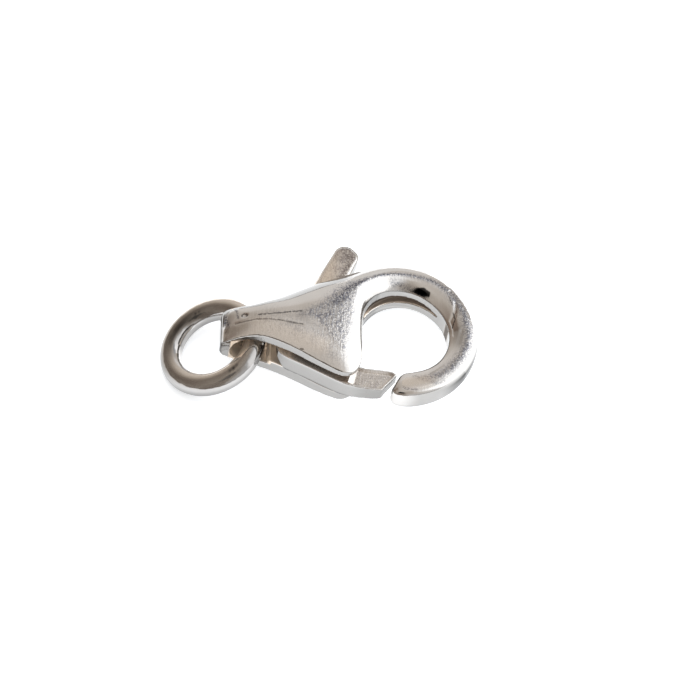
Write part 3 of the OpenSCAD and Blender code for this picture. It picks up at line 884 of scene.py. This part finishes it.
# Floor, camera, light
FLOOR_HALF = 0.4
FLOOR_FINISH = {"Base Color": (0.90, 0.925, 0.95, 1), "Emission Color": (0.97, 0.985, 1.0, 1),
                "Emission Strength": 0.52, "Roughness": 0.9}
corners = [(x * FLOOR_HALF, y * FLOOR_HALF, 0) for x, y in ((-1, -1), (1, -1), (1, 1), (-1, 1))]
floor = mesh_object("floor", corners, [(0, 1, 2, 3)])
floor_mat = bpy.data.materials.new("pale_floor")
floor_mat.use_nodes = True
for socket, value in FLOOR_FINISH.items():
    floor_mat.node_tree.nodes["Principled BSDF"].inputs[socket].default_value = value
floor.data.materials.append(floor_mat)

PX_PER_MM = 16.247
PICTURE = 700
CAMERA_AWAY = 320
LOOKED_AT = Vector((7.4667, 0, -0.96))
elevation = math.radians(55)
target = LOOKED_AT - Vector(ORIGIN)
right = Vector((1, 0, 0))
up = Vector((0, math.sin(elevation), math.cos(elevation)))
back = Vector((0, -math.cos(elevation), math.sin(elevation)))
# Where the target is in the photograph, against its middle, in pixels
off_x = 221 + LOOKED_AT.x * PX_PER_MM - PICTURE / 2
off_y = 340 - LOOKED_AT.z * math.cos(elevation) * PX_PER_MM - PICTURE / 2
aim = target - right * (off_x / PX_PER_MM) + up * (off_y / PX_PER_MM)
camera_data = bpy.data.cameras.new("camera")
camera_data.sensor_width = 36
camera_data.lens = 36 * CAMERA_AWAY * PX_PER_MM / PICTURE
camera_data.clip_start = 0.01
camera_data.clip_end = 5
camera = bpy.data.objects.new("camera", camera_data)
camera.location = (aim + back * CAMERA_AWAY) * MM
camera.rotation_euler = (-back).to_track_quat("-Z", "Y").to_euler()
bpy.context.scene.collection.objects.link(camera)
bpy.context.scene.camera = camera

world = bpy.data.worlds.new("studio")
bpy.context.scene.world = world
world.use_nodes = True
w = Nodes(world.node_tree)
ray = w.add("ShaderNodeTexCoord").outputs["Generated"]
parts = w.add("ShaderNodeSeparateXYZ", {"Vector": ray}).outputs
# Azimuth as a share of the round, from the camera's side by the left, the back and the right
turn = w.math("MULTIPLY_ADD", w.math("ARCTAN2", parts["X"], parts["Y"]), 0.5 / math.pi, 0.5)
climb = w.math("MULTIPLY", w.math("ARCSINE", parts["Z"]), 180 / math.pi)
climb_share = w.math("DIVIDE", climb, 90.0)
TONE_TOP = 1.5
# Degrees that the black card reaches past the camera's side to the left and to the right, and its climb
CARD_TURN = (33, 8)
CARD_CLIMB = (43, 67)
# What stands round the clasp, at eight heights: a tall softbox on the right, a dim room on the left
TONES = (
    (0, ((-180, .30), (-150, .24), (-120, .28), (-95, .28), (-75, .34), (-58, .60), (-22, .72), (-8, .60),
         (8, .62), (30, .56), (46, .50), (54, 1.45), (114, 1.45), (124, .76), (160, .70), (176, .40),
         (180, .30))),
    (14, ((-180, .30), (-160, .22), (-148, .22), (-135, .34), (-118, .31), (-104, .33), (-80, .28),
          (-60, .28), (-46, .27), (-30, .43), (-16, .57), (0, .62), (16, .63), (28, .48), (46, .46),
          (54, 1.45), (115, 1.45), (127, .74), (150, .68), (168, .62), (180, .30))),
    (28, ((-180, .21), (-160, .18), (-148, .22), (-128, .27), (-104, .18), (-88, .14), (-62, .15),
          (-45, .28), (-30, .45), (-15, .56), (0, .60), (15, .67), (28, .48), (43, .46), (48, 1.45),
          (116, 1.45), (128, .68), (150, .60), (166, .50), (180, .21))),
    (40, ((-180, .30), (-165, .22), (-150, .27), (-130, .35), (-104, .20), (-88, .17), (-74, .14),
          (-60, .18), (-45, .29), (-30, .42), (-15, .55), (0, .58), (15, .52), (28, .40), (41, .44),
          (44, .95), (48, 1.40), (116, 1.40), (128, .70), (145, .46), (162, .40), (180, .30))),
    (50, ((-180, .30), (-150, .30), (-143, .36), (-120, .31), (-100, .30), (-88, .27), (-74, .22),
          (-58, .17), (-46, .14), (-32, .33), (-15, .48), (0, .50), (15, .46), (30, .37), (42, .45),
          (46, 1.10), (52, 1.30), (116, 1.30), (128, .76), (142, .46), (160, .36), (180, .30))),
    (61, ((-180, .32), (-152, .34), (-138, .38), (-118, .34), (-100, .30), (-85, .26), (-62, .245),
          (-47, .14), (-32, .32), (-14, .41), (4, .45), (25, .46), (44, .57), (49, 1.15), (64, 1.10),
          (76, .92), (86, 1.10), (106, .90), (120, .80), (132, .50), (144, .36), (168, .31), (180, .32))),
    (67, ((-180, .38), (-150, .37), (-120, .38), (-88, .31), (-62, .33), (-46, .28), (-32, .44), (-14, .44),
          (4, .50), (30, .62), (60, .60), (76, .60), (90, .74), (106, .52), (122, .40), (150, .38),
          (180, .38))),
    (82, ((-180, .50), (-130, .46), (-90, .43), (-60, .44), (0, .46), (30, .44), (60, .48), (120, .47),
          (180, .50))),
)
rows = [w.ramp(turn, [(a / 360 + 0.5, t / TONE_TOP) for a, t in row], "EASE") for level, row in TONES]
tone = rows[0]
for (level, _), (next_level, _), row in zip(TONES, TONES[1:], rows[1:]):
    tone = w.mix(w.range(climb, level, next_level, interpolation_type="SMOOTHSTEP"), tone, row)
# Dark tones are brown, and those of the cooler light grey
WARM = ((0.0, (0.0, 0.0, 0.0)), (.11, (.145, .108, .085)), (.15, (.195, .146, .115)),
        (.40, (.440, .400, .358)), (.56, (.595, .560, .530)), (.66, (.67, .655, .64)), (.8, (.8, .8, .8)),
        (TONE_TOP, (TONE_TOP,) * 3))
COOL = ((0.0, (0.0, 0.0, 0.0)), (.4, (.395, .40, .415)), (TONE_TOP, (TONE_TOP,) * 3))
warm = w.ramp(tone, [(t / TONE_TOP, colour) for t, colour in WARM])
cool = w.ramp(tone, [(t / TONE_TOP, colour) for t, colour in COOL])
# Cooler light from high on the back right: degrees of turn and of climb, and how much of it is there
COOL_TURN = ((22, 0.0), (32, 1.0), (58, 1.0), (64, 0.0))
COOL_CLIMB = ((30, 0.0), (38, 1.0), (56, 1.0), (64, 0.0))
cool_turn = w.ramp(turn, [(a / 360 + 0.5, share) for a, share in COOL_TURN])
cool_climb = w.ramp(climb_share, [(a / 90, share) for a, share in COOL_CLIMB])
colour = w.mix(w.math("MULTIPLY", cool_turn, cool_climb), warm, cool)
# A black card over the camera
card_left, card_right = CARD_TURN[0] / 360, 1 - CARD_TURN[1] / 360
card_low, card_high = CARD_CLIMB[0] / 90, CARD_CLIMB[1] / 90
card_turn = w.ramp(turn, [(card_left, 1.0), (card_left + 0.004, 0.0), (card_right - 0.004, 0.0),
                          (card_right, 1.0)])
card_climb = w.ramp(climb_share, [(card_low - 0.01, 0.0), (card_low, 1.0), (card_high, 1.0),
                                  (card_high + 0.01, 0.0)])
colour = w.mix(w.math("MULTIPLY", card_turn, card_climb), colour, (0.004, 0.004, 0.005))
studio = w.add("ShaderNodeBackground", {"Color": colour, "Strength": 1.0})
w.add("ShaderNodeOutputWorld", {"Surface": studio.outputs["Background"]})

# Soft lights that don't mirror in the metal: name, place, which way it faces back, side, power, colour
ABOVE = Vector((0.1, 0.05, 0.5))
IN_FRONT = Vector((-0.08, -0.30, 0.12))
for name, place, backwards, side, power, tint in (
    ("overhead", ABOVE, Vector((0, 0, 1)), 0.7, 2.6, (0.96, 0.98, 1.0)),
    ("front_fill", IN_FRONT, IN_FRONT, 0.25, 0.45, (1.0, 1.0, 1.0)),
):
    data = bpy.data.lights.new(name, "AREA")
    data.size = side
    data.energy = power
    data.color = tint
    light = bpy.data.objects.new(name, data)
    light.location = place
    light.rotation_euler = backwards.to_track_quat("Z", "Y").to_euler()
    light.visible_glossy = False
    bpy.context.scene.collection.objects.link(light)

bpy.context.scene.view_settings.view_transform = "Standard"
